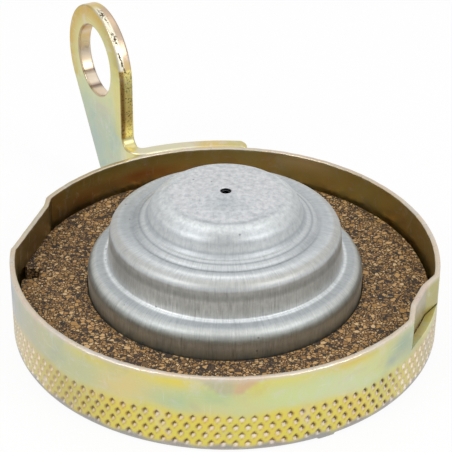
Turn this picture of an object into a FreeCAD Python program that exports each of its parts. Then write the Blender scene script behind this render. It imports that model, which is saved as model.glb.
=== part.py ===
"""Bayonet fuel-tank cap with a padlock eye, lying on its closed face with the open side up.

Millimetres.  +Z is up, towards the filler neck's side of the cap.  The origin is the centre of
the resting plane of the closed face, on the cap's own axis.  Azimuths run from +X towards +Y.
Each piece is one solid, or one group of solids, in a STEP file of its own.
"""
import FreeCAD, Part
import os
from math import sin, cos, tan, radians, degrees, sqrt, acos, asin, atan2

V = FreeCAD.Vector
AXIS = V(0, 0, 1)
ORIGIN = V(0, 0, 0)
SAME_POINT = 1e-7          # points closer than this are one

# Cap shell: a drawn steel cup
SKIRT_R = 49.0             # outer radius of the skirt
RIM_Z = 19.0               # height of the skirt's open rim
SHELL_T = 1.2              # sheet thickness
CORNER_R = 1.4             # bend radius at the closed face, on the outside
DISH_SLOPE = 2.4           # how far the dish's wall leans outwards
DISH_BEND = 1.8            # bend radii of the dish, on the middle of the sheet
DISH_MARGIN = 3.1          # flat floor of the dish beyond the rivet's washer

# Knurl: staggered rows of pits pressed into the skirt above the closed face
KNURL_COUNT = 120          # pits in a row
KNURL_ROWS = 4
KNURL_FIRST_Z = 2.3        # middle of the lowest row
KNURL_PITCH = 2.12         # from row to row
PIT_W = 1.3                # across a pit, round the skirt
PIT_H = 1.65               # across a pit, along the axis
PIT_DEPTH = 0.42

# Bayonet lugs: lanced out of the skirt and pressed inwards. Each has its azimuth, how far it is
# pressed in, and how far its flat runs clockwise and anticlockwise from there, on its outer face.
LUGS = ((-22.8, 2.3, 3.6, 4.2), (164.2, 1.95, 6.8, 13.0))
LUG_RUN = 4.2              # sideways run of a ramp for each millimetre that it rises
LUG_BEND = 1.0             # bend radius at the foot of a ramp
LUG_RISE = 0.5             # height of a lug's lower edge above the gasket
LANCE_GAP = 0.25           # slot under a lug

# Corner pip beside the closed face
PIP_AZIMUTH = -63.5
PIP_LENGTH = 3.6
PIP_R = 0.8

# Padlock bracket: thick steel strip, its foot on the skirt and its eye standing above the rim
BRACKET_T = 3.5
EYE_AZIMUTH = 119.6        # direction in which the eye's plate stands out
EYE_FACE = -1.0            # front face of the plate, measured from the cap's axis
BRACKET_BEND = 1.5         # inner radius of the vertical bend
FOOT_END_AZIMUTH = 83.9    # free end of the foot
FOOT_Z = 5.0               # lower edge of foot and plate
FOOT_CHAMFER = 2.0
HEAD_REACH = 21.5          # centre of the rounded head, outwards from the skirt
HEAD_RISE = 16.8           # and up from the rim
EYE_R = 9.2                # hole for the padlock's shackle
EYE_RISE = 0.8             # centre of the hole above the head's
EYE_WALL = 6.0             # width of the plate round the hole
TAPER = 32.5               # lean of the plate's outer edge from the vertical, degrees
PLATE_FILLET = 2.5         # where the plate rises from the foot's top edge
PLATE_CORNER = 3.0         # rounded lower corner of the plate
WELD_COUNT = 3             # spot welds on the foot
WELD_START = 5.6           # first weld from the foot's end, degrees
WELD_PITCH = 9.0           # from weld to weld, degrees
WELD_R = 2.4
WELD_DEPTH = 0.35

# Wave spring and slip ring
TRAVEL = 1.5               # how far the insert gives way when the cap is locked
SPRING_SPACE = 4.4         # room for the spring between the closed face and the slip ring
SPRING_PLAY = 0.05         # left at each end of the spring
SPRING_T = 0.6
SPRING_WIDTH = 7.0
SPRING_INSET = 1.5         # spring's outer edge inwards from the slip ring's
SPRING_WAVES = 4
WAVE_POINTS = 8            # points that shape one wave
SLIP_T = 1.2
SLIP_INSET = 3.3           # slip ring's outer edge inwards from the pressure plate's
SLIP_BEND = 1.2
SLIP_LIP_H = 1.8           # height of the slip ring's locating lip
SLIP_PLAY = 0.05           # under the pressure plate

# Pressure plate and gasket
PLATE_T = 1.2
PLATE_PLAY = 0.4           # between plate and lugs
PLATEAU_H = 5.4            # raised middle of the plate above its seat
PLATE_BEND = 1.4           # bend at the top of the collar, on the middle of the sheet
COLLAR_FOOT = 0.1          # inner radius at the foot of the collar
VENT_R = 1.5
VENT_COUNT = 6
VENT_RING_R = 17.0         # vent holes from the axis
GASKET_T = 3.0
GASKET_LIP = 1.9           # gasket's outer edge beyond the plate's
GASKET_PLAY = 0.2          # round the vent cup
NOTCH_AZIMUTH = 178.0
NOTCH_W = 4.6
NOTCH_D = 3.8

# Vent cup: drawn in steps from one aluminium blank, sizes on its outside from the foot upwards
CUP_T = 0.8
CUP_R = 31.5
CUP_COLLAR_PLAY = 0.03     # between the cup and the collar it is pressed over
ROOF1_IN = 4.6             # width of the first step's roof
ROOF1_RISE = 0.8
ROOF1_ROUND = 3.2          # radius at the roof's edge
WALL2_IN = 0.8             # taper of the second wall
WALL2_H = 8.2
ROOF2_IN = 5.1
ROOF2_RISE = 0.7
ROOF2_ROUND = 2.2
WALL_FOOT_ROUND = 0.9      # where a wall rises from the roof below it
DOME_FOOT_IN = 3.1         # flared foot of the dome
DOME_FOOT_H = 1.3
DOME_TOP_IN = 1.3          # steep side of the dome
DOME_TOP_H = 3.3
CROWN_IN = 2.8             # rounded shoulder of the crown
CROWN_H = 2.2
CROWN_RISE = 0.9           # from that shoulder to the hole
DOME_FOOT_ROUND = 1.6
DOME_ROUND = 2.6
CROWN_ROUND = 2.2
CROWN_HOLE_R = 1.15

# Inside the vent cup
HAT_T = 0.8
HAT_H = 6.4
HAT_PLAY = 1.7             # between the baffle hat and the cup's second wall
HAT_BEND = 1.2
HAT_FOOT_BEND = 0.7
FLANGE_PLAY = 0.5          # between the hat's flange and the cup's first wall
HAT_HOLE_R = 1.2
HAT_HOLE_COUNT = 8
SEAL_W = 3.0
SEAL_H = 2.85
SEAL_PLAY = 0.1            # under the roof of the first step
PAD_PLAY = 0.3             # round the filter pad and the gauze
PAD_HEADROOM = 0.95        # between gauze and roof
GAUZE_T = 0.5

# Shouldered rivet on the cap's axis
RIVET_R = 4.0
RIVET_HEAD_W = 2.6         # head beyond the rivet's neck
RIVET_HEAD_H = 1.7
RIVET_HEAD_EDGE = 0.5      # straight edge under the head's dome
HEAD_RECESS = 0.5          # outer head below the resting plane's level, inside the dish
SHOULDER_W = 1.6
SHOULDER_PLAY = 0.4        # left under the plate at the end of its travel
RIVET_PLAY = 0.08          # running fit of the pressure plate on the rivet
WASHER_W = 2.9             # washer beyond the rivet's head
WASHER_T = 1.0
RETAINER_W = 4.5           # retaining washer beyond the rivet's neck
RETAINER_T = 1.0
RETAINER_PLAY = 0.03

# Levels that follow from the sizes above
dish_depth = WASHER_T + RIVET_HEAD_H + HEAD_RECESS
slip_z = SHELL_T + SPRING_SPACE
plate_z = slip_z + SLIP_T + SLIP_PLAY
seat_z = plate_z + PLATE_T
gasket_z = seat_z + GASKET_T
lug_z = gasket_z + LUG_RISE
plateau_z = seat_z + PLATEAU_H
seal_z = plateau_z + HAT_T

# Radii that follow
lug_r = SKIRT_R - max(lug[1] for lug in LUGS)
plate_r = lug_r - SHELL_T - PLATE_PLAY
slip_r = plate_r - SLIP_INSET
collar_r = CUP_R - CUP_T - CUP_COLLAR_PLAY
seal_r = CUP_R - ROOF1_ROUND
cup_r2 = CUP_R - ROOF1_IN - WALL2_IN
rivet_head_r = RIVET_R + RIVET_HEAD_W
washer_r = rivet_head_r + WASHER_W

# Steps of the vent cup
roof_at_seal = ROOF1_RISE * (CUP_R - seal_r) / ROOF1_IN
cup_step1_z = seal_z + SEAL_H + SEAL_PLAY + CUP_T - roof_at_seal
cup_step2_z = cup_step1_z + ROOF1_RISE + WALL2_H

# Padlock bracket
head_out = SKIRT_R + HEAD_REACH
head_z = RIM_Z + HEAD_RISE
head_r = EYE_R + EYE_WALL


def rounded_edges(points, radii, closed=False):
    """Edges through 2D points, each corner replaced by a tangent arc of its own radius."""
    n = len(points)
    corners = []
    for i, (p, r) in enumerate(zip(points, radii)):
        if r <= 0 or (not closed and i in (0, n - 1)):
            corners.append((p, None, p))
            continue
        a, b = points[i - 1], points[(i + 1) % n]
        ua = (p - a).normalize()
        ub = (b - p).normalize()
        half = acos(max(-1.0, min(1.0, ua.dot(ub)))) / 2
        reach = r * tan(half)
        start, end = p - ua * reach, p + ub * reach
        bisector = (ub - ua).normalize()
        middle = p + bisector * (r / cos(half) - r)
        corners.append((start, middle, end))
    edges = []
    for i, (start, middle, end) in enumerate(corners):
        if middle is not None:
            edges.append(Part.Arc(start, middle, end).toShape())
        if i < n - 1 or closed:
            nxt = corners[(i + 1) % n][0]
            if (nxt - end).Length > SAME_POINT:
                edges.append(Part.LineSegment(end, nxt).toShape())
    return edges


def outline_face(points, radii):
    """Face inside a closed outline with rounded corners."""
    return Part.Face(Part.Wire(rounded_edges(points, radii, closed=True)))


def offset_line(points, shift, normal_axis):
    """Corner points of an open line moved sideways by shift."""
    ways = [(b - a).normalize() for a, b in zip(points, points[1:])]
    sides = [normal_axis.cross(w) for w in ways]
    moved = [points[0] + sides[0] * shift]
    for i in range(1, len(points) - 1):
        s0, s1 = sides[i - 1], sides[i]
        moved.append(points[i] + (s0 + s1) * (shift / (1 + s0.dot(s1))))
    moved.append(points[-1] + sides[-1] * shift)
    return moved


def sheet_face(points, radii, thickness, normal_axis=V(0, -1, 0)):
    """Section of bent sheet metal: a line of corner points with bends, given half the thickness
    to either side.  The radii are those of the middle of the sheet."""
    turns = [0.0] * len(points)
    for i in range(1, len(points) - 1):
        w0 = points[i] - points[i - 1]
        w1 = points[i + 1] - points[i]
        turns[i] = 1.0 if w0.cross(w1).dot(normal_axis) > 0 else -1.0
    half = thickness / 2
    sides = []
    for shift in (half, -half):
        side_radii = [max(r - shift * t, 0.05) if r > 0 else 0 for r, t in zip(radii, turns)]
        sides.append((offset_line(points, shift, normal_axis), side_radii))
    (left, left_r), (right, right_r) = sides
    edges = rounded_edges(left, left_r)
    edges.append(Part.LineSegment(left[-1], right[-1]).toShape())
    edges += rounded_edges(right[::-1], right_r[::-1])
    edges.append(Part.LineSegment(right[0], left[0]).toShape())
    return Part.Face(Part.Wire(Part.__sortEdges__(edges)))


def turned(face):
    """Full turn of a section about the cap's axis."""
    return face.revolve(ORIGIN, AXIS, 360)


def section(pairs):
    """Corner points of a half section from (radius, height) pairs."""
    return [V(r, 0, z) for r, z in pairs]


def ring(r_out, r_in, z, height):
    """Flat ring, or a disc where r_in is 0."""
    disc = Part.makeCylinder(r_out, height, V(0, 0, z))
    return disc.cut(Part.makeCylinder(r_in, height, V(0, 0, z))) if r_in > 0 else disc


def polar(r, azimuth, z=0.0):
    return V(r * cos(radians(azimuth)), r * sin(radians(azimuth)), z)


def spun(shape, azimuth):
    """Copy of a shape turned about the cap's axis."""
    copy = shape.copy()
    copy.rotate(ORIGIN, AXIS, azimuth)
    return copy


def pit_tool():
    """Punch for one pit at azimuth 0 and height 0: a four-sided pyramid with its tip inside the
    skirt and its base as far outside as the pit is deep."""
    tip = V(SKIRT_R - PIT_DEPTH, 0, 0)
    base_x = SKIRT_R + PIT_DEPTH
    base = [V(base_x, -PIT_W, 0), V(base_x, 0, -PIT_H), V(base_x, PIT_W, 0), V(base_x, 0, PIT_H)]
    faces = [Part.Face(Part.makePolygon(base + base[:1]))]
    for i in range(4):
        faces.append(Part.Face(Part.makePolygon([base[i - 1], base[i], tip, base[i - 1]])))
    return Part.makeSolid(Part.makeShell(faces))


def knurled(shell):
    """Shell with all its pits, every other row shifted by half a pit's spacing."""
    pits = []
    for row in range(KNURL_ROWS):
        punch = pit_tool()
        punch.translate(V(0, 0, KNURL_FIRST_Z + row * KNURL_PITCH))
        for i in range(KNURL_COUNT):
            pits.append(spun(punch, 360.0 * (i + row % 2 / 2) / KNURL_COUNT))
    return shell.cut(Part.makeCompound(pits))


def lug_outline(lug, shift):
    """Plan of a lug turned to azimuth 0 and moved inwards by shift: a flat with a ramp at either
    side, running on past the skirt."""
    azimuth, press, clockwise, anticlockwise = lug
    x_in, x_out = SKIRT_R - press - shift, SKIRT_R + SHELL_T
    wider = shift * (sqrt(1 + LUG_RUN ** 2) - LUG_RUN)
    low, high = -clockwise - wider, anticlockwise + wider
    run = LUG_RUN * (x_out - x_in)
    points = [V(x_in, low), V(x_out, low - run), V(x_out, high + run), V(x_in, high)]
    bend = LUG_BEND + shift
    return outline_face(points, [bend, 0, 0, bend])


def lugs_into(shell):
    """Shell with its lugs lanced free of the skirt's lower part and pressed inwards."""
    skirt_disc = Part.makeCylinder(SKIRT_R, RIM_Z)
    for lug in LUGS:
        pocket = lug_outline(lug, 0).extrude(V(0, 0, RIM_Z))
        lance = pocket.copy()
        lance.translate(V(0, 0, lug_z - LANCE_GAP))
        sheet = lug_outline(lug, SHELL_T).extrude(V(0, 0, RIM_Z - lug_z))
        sheet.translate(V(0, 0, lug_z))
        sheet = sheet.common(skirt_disc).cut(pocket)
        shell = shell.cut(spun(lance, lug[0])).fuse(spun(sheet, lug[0]))
    return shell.removeSplitter()


def cap_shell():
    """Closed face, dish and skirt in one drawing, with knurl, pip and the two bayonet lugs."""
    half = SHELL_T / 2
    dish_r = washer_r + DISH_MARGIN
    dish_z = dish_depth + half
    middle = section([(RIVET_R, dish_z), (dish_r, dish_z), (dish_r + DISH_SLOPE, half),
                      (SKIRT_R - half, half), (SKIRT_R - half, RIM_Z)])
    shell = turned(sheet_face(middle, [0, DISH_BEND, DISH_BEND, CORNER_R - half, 0], SHELL_T))
    pip_start = V(SKIRT_R - PIP_R, -PIP_LENGTH / 2, PIP_R)
    pip = Part.makeCylinder(PIP_R, PIP_LENGTH, pip_start, V(0, 1, 0))
    shell = shell.fuse(spun(pip, PIP_AZIMUTH))
    return knurled(lugs_into(shell))


def bracket_frame():
    """Directions of the padlock plate: outwards, and square to its front face."""
    return polar(1, EYE_AZIMUTH), polar(1, EYE_AZIMUTH + 90)


def bracket_plan(height):
    """Foot along the skirt, vertical bend and straight plate, all as high as the head."""
    out, face = bracket_frame()
    foot_r = SKIRT_R + BRACKET_T / 2
    bend_r = BRACKET_BEND + BRACKET_T / 2
    side = EYE_FACE - BRACKET_T / 2 - bend_r
    along = sqrt((foot_r + bend_r) ** 2 - side ** 2)
    bend_centre = out * along + face * side
    swing = degrees(atan2(-side, along))
    foot_end = EYE_AZIMUTH - swing
    foot = ring(SKIRT_R + BRACKET_T, SKIRT_R, 0, height)
    wedge = Part.makeCylinder(SKIRT_R * 2, height, ORIGIN, AXIS, foot_end - FOOT_END_AZIMUTH)
    foot = foot.common(spun(wedge, FOOT_END_AZIMUTH))
    outer_r = BRACKET_BEND + BRACKET_T
    bend = Part.makeCylinder(outer_r, height, bend_centre)
    bend = bend.cut(Part.makeCylinder(BRACKET_BEND, height, bend_centre))
    quarter = Part.makeCylinder(outer_r * 2, height, ORIGIN, AXIS, 90 + swing)
    quarter.rotate(ORIGIN, AXIS, EYE_AZIMUTH + 90)
    quarter.translate(bend_centre)
    bend = bend.common(quarter)
    back = out * along + face * (EYE_FACE - BRACKET_T)
    plate = Part.makeBox(head_out + head_r, BRACKET_T, height)
    plate.rotate(ORIGIN, AXIS, EYE_AZIMUTH)
    plate.translate(back)
    return foot, bend.fuse(plate)


def plate_outline():
    """Side view of the plate: rounded head, straight inner edge, tapering outer edge."""
    out = bracket_frame()[0]
    lean = radians(TAPER)
    touch = (head_out + head_r * cos(lean), head_z - head_r * sin(lean))
    foot_out = touch[0] - (touch[1] - FOOT_Z) * tan(lean)
    inner = head_out - head_r
    root = SKIRT_R / 2

    def at(s, z):
        return out * s + AXIS * z

    corners = [(inner, head_z), (inner, RIM_Z), (root, RIM_Z), (root, FOOT_Z), (foot_out, FOOT_Z), touch]
    radii = [0, PLATE_FILLET, 0, 0, PLATE_CORNER, 0]
    low = rounded_edges([at(*corner) for corner in corners], radii)
    top = Part.Arc(at(*touch), at(head_out, head_z + head_r), at(inner, head_z)).toShape()
    return Part.Face(Part.Wire(Part.__sortEdges__(low + [top])))


def eye_centre():
    """Middle of the eye hole, on the middle of the plate."""
    out, face = bracket_frame()
    return out * head_out + face * (EYE_FACE - BRACKET_T / 2) + AXIS * (head_z + EYE_RISE)


def foot_chamfer():
    """Wedge that takes the outer corner off the foot's free end."""
    r_out = SKIRT_R + BRACKET_T
    c = FOOT_CHAMFER
    wedge = outline_face([V(r_out - 2 * c, -c), V(r_out + c, -c), V(r_out + c, 2 * c)], [0, 0, 0])
    return spun(wedge.extrude(V(0, 0, RIM_Z)), FOOT_END_AZIMUTH)


def weld_dent(azimuth):
    """Shallow round dent of a spot weld in the foot's outer face."""
    ball_r = (WELD_R ** 2 + WELD_DEPTH ** 2) / (2 * WELD_DEPTH)
    centre = polar(SKIRT_R + BRACKET_T + ball_r - WELD_DEPTH, azimuth, (FOOT_Z + RIM_Z) / 2)
    return Part.makeSphere(ball_r, centre)


def padlock_bracket():
    """Foot welded along the skirt, bent outwards into an upright plate with the padlock eye."""
    face = bracket_frame()[1]
    foot, upright = bracket_plan(head_z + head_r)
    side = plate_outline().extrude(face * (2 * SKIRT_R))
    side.translate(face * (-SKIRT_R))
    foot = foot.common(ring(2 * SKIRT_R, 0, FOOT_Z, RIM_Z - FOOT_Z)).cut(foot_chamfer())
    for i in range(WELD_COUNT):
        foot = foot.cut(weld_dent(FOOT_END_AZIMUTH + WELD_START + i * WELD_PITCH))
    bracket = foot.fuse(upright.common(side)).removeSplitter()
    bore = Part.makeCylinder(EYE_R, 3 * BRACKET_T, eye_centre() - face * (1.5 * BRACKET_T), face)
    return bracket.cut(bore)


def dome_arc(r, edge_z, top_z):
    """Half of a shallow dome's section, from its edge to the axis."""
    rise = top_z - edge_z
    ball_r = (r * r + rise * rise) / (2 * rise)
    half_turn = asin(r / ball_r) / 2
    middle = V(ball_r * sin(half_turn), 0, top_z - ball_r * (1 - cos(half_turn)))
    return Part.Arc(V(r, 0, edge_z), middle, V(0, 0, top_z)).toShape()


def centre_rivet():
    """Shouldered rivet: domed head in the dish, running neck for the pressure plate, and the
    inner head formed over the retaining washer."""
    head_top = dish_depth - WASHER_T
    head_edge = head_top - RIVET_HEAD_EDGE
    bottom = head_top - RIVET_HEAD_H
    inner_floor = dish_depth + SHELL_T
    shoulder_r = RIVET_R + SHOULDER_W
    shoulder_z = plate_z + PLATEAU_H - TRAVEL - SHOULDER_PLAY
    neck_top = plateau_z + RETAINER_PLAY + RETAINER_T
    top_edge = neck_top + RIVET_HEAD_EDGE
    top = neck_top + RIVET_HEAD_H
    steps = section([(rivet_head_r, head_edge), (rivet_head_r, head_top), (RIVET_R, head_top),
                     (RIVET_R, inner_floor), (shoulder_r, inner_floor), (shoulder_r, shoulder_z),
                     (RIVET_R, shoulder_z), (RIVET_R, neck_top), (rivet_head_r, neck_top),
                     (rivet_head_r, top_edge)])
    edges = rounded_edges(steps, [0] * len(steps))
    edges.append(dome_arc(rivet_head_r, head_edge, bottom))
    edges.append(dome_arc(rivet_head_r, top_edge, top))
    edges.append(Part.LineSegment(V(0, 0, top), V(0, 0, bottom)).toShape())
    return turned(Part.Face(Part.Wire(Part.__sortEdges__(edges))))


def rivet_washer():
    """Plain washer under the rivet's outer head."""
    return ring(washer_r, RIVET_R, dish_depth - WASHER_T, WASHER_T)


def rivet_retainer():
    """Washer that keeps the pressure plate on the rivet."""
    return ring(RIVET_R + RETAINER_W, RIVET_R, plateau_z + RETAINER_PLAY, RETAINER_T)


def wave_spring():
    """One-turn wave washer between the closed face and the slip ring."""
    swing = (SPRING_SPACE - SPRING_T - 2 * SPRING_PLAY) / 2
    low = SHELL_T + SPRING_PLAY
    count = SPRING_WAVES * WAVE_POINTS
    r_out = slip_r - SPRING_INSET

    def wavy(r):
        points = []
        for i in range(count):
            azimuth = 360.0 * i / count
            lift = swing * (1 + cos(radians(SPRING_WAVES * azimuth)))
            points.append(polar(r, azimuth, low + lift))
        curve = Part.BSplineCurve()
        curve.interpolate(Points=points, PeriodicFlag=True)
        return curve.toShape()

    return Part.makeRuledSurface(wavy(r_out - SPRING_WIDTH), wavy(r_out)).extrude(V(0, 0, SPRING_T))


def slip_ring():
    """Ring between spring and pressure plate, with a lip that finds its centre in the plate."""
    lip_r = collar_r - PLATE_T - RIVET_PLAY - SLIP_T / 2
    flat_z = slip_z + SLIP_T / 2
    corners = section([(lip_r, slip_z + SLIP_T + SLIP_LIP_H), (lip_r, flat_z), (slip_r, flat_z)])
    return turned(sheet_face(corners, [0, SLIP_BEND, 0], SLIP_T))


def pressure_plate():
    """Steel plate that carries the gasket: flat seat, collar for the vent cup, raised middle with
    vent holes, and the hole that runs on the rivet."""
    half = PLATE_T / 2
    collar = collar_r - half
    corners = section([(RIVET_R + RIVET_PLAY, plateau_z - half), (collar, plateau_z - half),
                       (collar, plate_z + half), (plate_r, plate_z + half)])
    plate = turned(sheet_face(corners, [0, PLATE_BEND, COLLAR_FOOT + half, 0], PLATE_T))
    for i in range(VENT_COUNT):
        hole = Part.makeCylinder(VENT_R, 3 * PLATE_T, V(VENT_RING_R, 0, plateau_z - 2 * PLATE_T))
        plate = plate.cut(spun(hole, 360.0 * i / VENT_COUNT))
    return plate


def gasket():
    """Flat cork-rubber ring with one notch in its outer edge."""
    gasket_r = plate_r + GASKET_LIP
    flat = ring(gasket_r, CUP_R + GASKET_PLAY, seat_z, GASKET_T)
    notch = Part.makeBox(2 * NOTCH_D, NOTCH_W, GASKET_T)
    notch.translate(V(gasket_r - NOTCH_D, -NOTCH_W / 2, seat_z))
    return flat.cut(spun(notch, NOTCH_AZIMUTH))


def vent_cup():
    """Stepped aluminium cup pressed over the plate's collar, open below, one hole in its crown."""
    steps = [(0, cup_step1_z - seat_z - COLLAR_FOOT), (ROOF1_IN, ROOF1_RISE), (WALL2_IN, WALL2_H),
             (ROOF2_IN, ROOF2_RISE), (DOME_FOOT_IN, DOME_FOOT_H), (DOME_TOP_IN, DOME_TOP_H),
             (CROWN_IN, CROWN_H)]
    outside = [(CUP_R, seat_z + COLLAR_FOOT)]
    for inwards, up in steps:
        r, z = outside[-1]
        outside.append((r - inwards, z + up))
    outside.append((CROWN_HOLE_R, outside[-1][1] + CROWN_RISE))
    half = CUP_T / 2
    middle = offset_line(section(outside), half, V(0, -1, 0))
    bends = [0, ROOF1_ROUND - half, WALL_FOOT_ROUND, ROOF2_ROUND - half, WALL_FOOT_ROUND,
             DOME_FOOT_ROUND, DOME_ROUND, CROWN_ROUND, 0]
    return turned(sheet_face(middle, bends, CUP_T))


def baffle_hat():
    """Hat-shaped baffle over the vent holes: flange on the plate, holes round its wall."""
    half = HAT_T / 2
    wall = cup_r2 - CUP_T - HAT_PLAY - half
    flange_r = CUP_R - CUP_T - FLANGE_PLAY
    corners = section([(0, plateau_z + HAT_H - half), (wall, plateau_z + HAT_H - half),
                       (wall, plateau_z + half), (flange_r, plateau_z + half)])
    hat = turned(sheet_face(corners, [0, HAT_BEND, HAT_FOOT_BEND, 0], HAT_T))
    for i in range(HAT_HOLE_COUNT):
        drill = Part.makeCylinder(HAT_HOLE_R, wall, V(wall / 2, 0, plateau_z + HAT_H / 2), V(1, 0, 0))
        hat = hat.cut(spun(drill, 360.0 * (i + 0.5) / HAT_HOLE_COUNT))
    return hat


def cup_seal():
    """Rubber ring squeezed between the baffle's flange and the roof of the cup's first step."""
    return ring(seal_r, seal_r - SEAL_W, seal_z, SEAL_H)


def pad_height():
    """Room for the filter pad between the baffle and the gauze under the cup's second roof."""
    return cup_step2_z - CUP_T - PAD_HEADROOM - GAUZE_T - plateau_z - HAT_H


def filter_pad():
    """Round filter pad on top of the baffle."""
    return ring(cup_r2 - CUP_T - PAD_PLAY, 0, plateau_z + HAT_H, pad_height())


def gauze_disc():
    """Woven wire disc on the pad, below the dome."""
    return ring(cup_r2 - CUP_T - PAD_PLAY, 0, plateau_z + HAT_H + pad_height(), GAUZE_T)


PARTS = [cap_shell, padlock_bracket, centre_rivet, rivet_washer, rivet_retainer, wave_spring, slip_ring,
         pressure_plate, gasket, vent_cup, baffle_hat, cup_seal, filter_pad, gauze_disc]

os.makedirs("parts", exist_ok=True)
for make in PARTS:
    shape = make()
    box = shape.BoundBox
    name = make.__name__
    print(name, "solids", len(shape.Solids), "valid", shape.isValid(), "mm3 %.1f" % shape.Volume,
          "z %.2f..%.2f" % (box.ZMin, box.ZMax))
    shape.exportStep("parts/%s.step" % name)
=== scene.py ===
from math import atan2, cos, pi, radians, sin, tan

import bpy
import bmesh
import numpy as np
from mathutils import Matrix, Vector
from mathutils.geometry import delaunay_2d_cdt


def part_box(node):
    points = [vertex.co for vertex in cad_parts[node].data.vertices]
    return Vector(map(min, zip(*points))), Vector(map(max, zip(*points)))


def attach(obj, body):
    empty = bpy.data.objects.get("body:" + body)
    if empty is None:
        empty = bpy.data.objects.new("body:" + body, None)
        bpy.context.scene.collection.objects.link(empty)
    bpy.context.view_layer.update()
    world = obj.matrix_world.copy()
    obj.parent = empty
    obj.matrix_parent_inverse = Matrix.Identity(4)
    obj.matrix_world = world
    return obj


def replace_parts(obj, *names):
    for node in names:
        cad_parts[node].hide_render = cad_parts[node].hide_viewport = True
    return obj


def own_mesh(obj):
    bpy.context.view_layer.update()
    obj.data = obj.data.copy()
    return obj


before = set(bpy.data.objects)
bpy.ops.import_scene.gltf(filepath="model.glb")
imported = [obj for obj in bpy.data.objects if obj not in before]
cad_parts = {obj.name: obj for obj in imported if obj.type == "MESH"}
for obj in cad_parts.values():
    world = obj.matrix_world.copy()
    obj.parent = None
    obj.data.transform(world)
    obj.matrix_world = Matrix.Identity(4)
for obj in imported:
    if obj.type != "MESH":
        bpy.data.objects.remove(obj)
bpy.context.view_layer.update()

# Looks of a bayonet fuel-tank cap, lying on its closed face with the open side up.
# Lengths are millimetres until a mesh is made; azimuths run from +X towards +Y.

MM = 0.001


def size_of(node):
    """Lowest and highest corner of a CAD node, in millimetres."""
    low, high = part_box(node)
    return np.array(low) / MM, np.array(high) / MM


# Cap shell
shell_high = size_of("cap_shell")[1]
SKIRT_R = float(shell_high[0])
RIM_Z = float(shell_high[2])
SHELL_T = 1.2
CORNER_R = 1.4
RIM_ROUND = 0.24           # sheared edge of the rim, slightly rounded
RIVET_R = 4.0
DISH_DEPTH = 3.2
DISH_FLOOR_R = 12.6
DISH_SLOPE = 2.4
DISH_BEND = 1.8
SHELL_ARC_STEP = 0.45      # spacing of points on its bends
WAVE_Z = 10.0              # from here up the skirt is a little wavy, and dragged in below a lug
WAVE_RISE = 9.0            # height over which the waves grow
WAVE_DEPTH = 0.025
BURR = 0.03                # how uneven the sheared rim is
CREASE = 32                # edges that turn by more degrees stay sharp

# Knurl
KNURL_COUNT = 120
KNURL_ROWS = 4
KNURL_FIRST_Z = 2.3
KNURL_PITCH = 2.12
PIT_W = 1.5
PIT_H = 1.85
PIT_DEPTH = 0.52
PIT_POWER = 1.4            # 1 a sharp diamond, 2 an ellipse
# The pits' dark facets carry painted shade and the others a painted highlight, placed by azimuth from
# the front
SHADE_FRONT = 276.0        # azimuth where the pits' dark facets are the upper ones
SHADE_LEAN = 0.9           # how far they turn to the outer side away from there
# Degrees from there, how dark the painted shade on the pits' dark facets is and how bright the painted
# highlight on the others
PIT_SHADE_AND_HIGHLIGHT = ((-75, 0.1, 1.0), (-63, 0.2, 0.95), (-50, 0.5, 0.6), (-38, 0.75, 0.55), (-15, 0.75, 0.65),
             (0, 0.65, 0.85), (12, 0.9, 0.75), (38, 1.0, 0.75), (47, 0.1, 1.0))
CELLS = 8                  # columns of the mesh for each pit
COLUMNS = KNURL_COUNT * CELLS

# Film on the skirt
WEDGE_AZIMUTH = 271.5      # pale wedge below the rim, at the front
WEDGE_HALF = 9.5           # half its width at the rim, in degrees
WEDGE_H = 5.5
YELLOW_Z = 11.0            # top of the yellower film over the knurl
LOW_EDGE_Z = 2.3           # top of the grey at the lower edge, greyer towards the bottom

# Bayonet lugs
LUGS = ((-22.8, 2.3, 3.6, 4.2), (164.2, 1.95, 6.8, 13.0))    # azimuth, press, flat either way
LUG_RUN = 4.2
LUG_ROUND = 0.16           # width over which a lug's corners are softened
LUG_REACH = 25             # degrees from its middle within which a lug ends
LANCE_Z = 11.3
LUG_Z = 11.55

# Corner pip
PIP_AZIMUTH = -63.5
PIP_LENGTH = 3.6

# Padlock bracket
BRACKET_T = 3.5
EYE_AZIMUTH = 119.6
EYE_FACE = -1.0
BRACKET_BEND = 1.5
FOOT_END_AZIMUTH = 83.9
FOOT_Z = 5.0
FOOT_CHAMFER = 2.0
FOOT_CORNER = 0.9
HEAD_REACH = 21.5
HEAD_RISE = 16.8
EYE_R = 9.2
EYE_RISE = 0.8
EYE_WALL = 6.0
TAPER = 32.5
PLATE_FILLET = 2.5
PLATE_CORNER = 3.0
BRACKET_ROUND = 0.5        # rolled edge of the blanked plate
OUTLINE_STEP = 0.55        # spacing of points on its outline
OUTLINE_ARC_STEP = 0.4
EYE_POINTS = 96
FACE_MARGIN = 1.1          # the faces' inner mesh points keep this far from an edge
WELD_AZIMUTHS = (89.5, 98.5, 107.5)
WELD_R = 2.4
WELD_DEPTH = 0.35

# Gasket
gasket_low, gasket_high = size_of("gasket")
GASKET_R = 47.0
GASKET_HOLE_R = 31.7
GASKET_ROUND = 0.25
GASKET_SLACK = 0.12        # its cut edge wanders within this
GASKET_COLUMNS = 720
NOTCH_AZIMUTH = 178.0
NOTCH_W = 4.6
NOTCH_D = 3.8

# Vent cup
cup_low, cup_high = size_of("vent_cup")
CUP_R = float(cup_high[0])
CUP_T = 0.8
CUP_STEP = 0.2             # spacing of its rows
CUP_COLUMNS = 240
CROWN_HOLE_R = 1.15
STREAK_R = 30.0            # radius of the streak attribute's circle, which sets the draw lines' width

# Wave spring
SPRING_T = 0.6
SPRING_WIDTH = 7.0
SPRING_WAVES = 4
SPRING_COLUMNS = 240


def linear(colour):
    """Linear light of an sRGB colour written as six hex digits, with alpha 1."""
    parts = [int(colour[i:i + 2], 16) / 255 for i in (0, 2, 4)]
    return tuple(p / 12.92 if p <= 0.04045 else ((p + 0.055) / 1.055) ** 2.4 for p in parts) + (1.0,)


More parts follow.
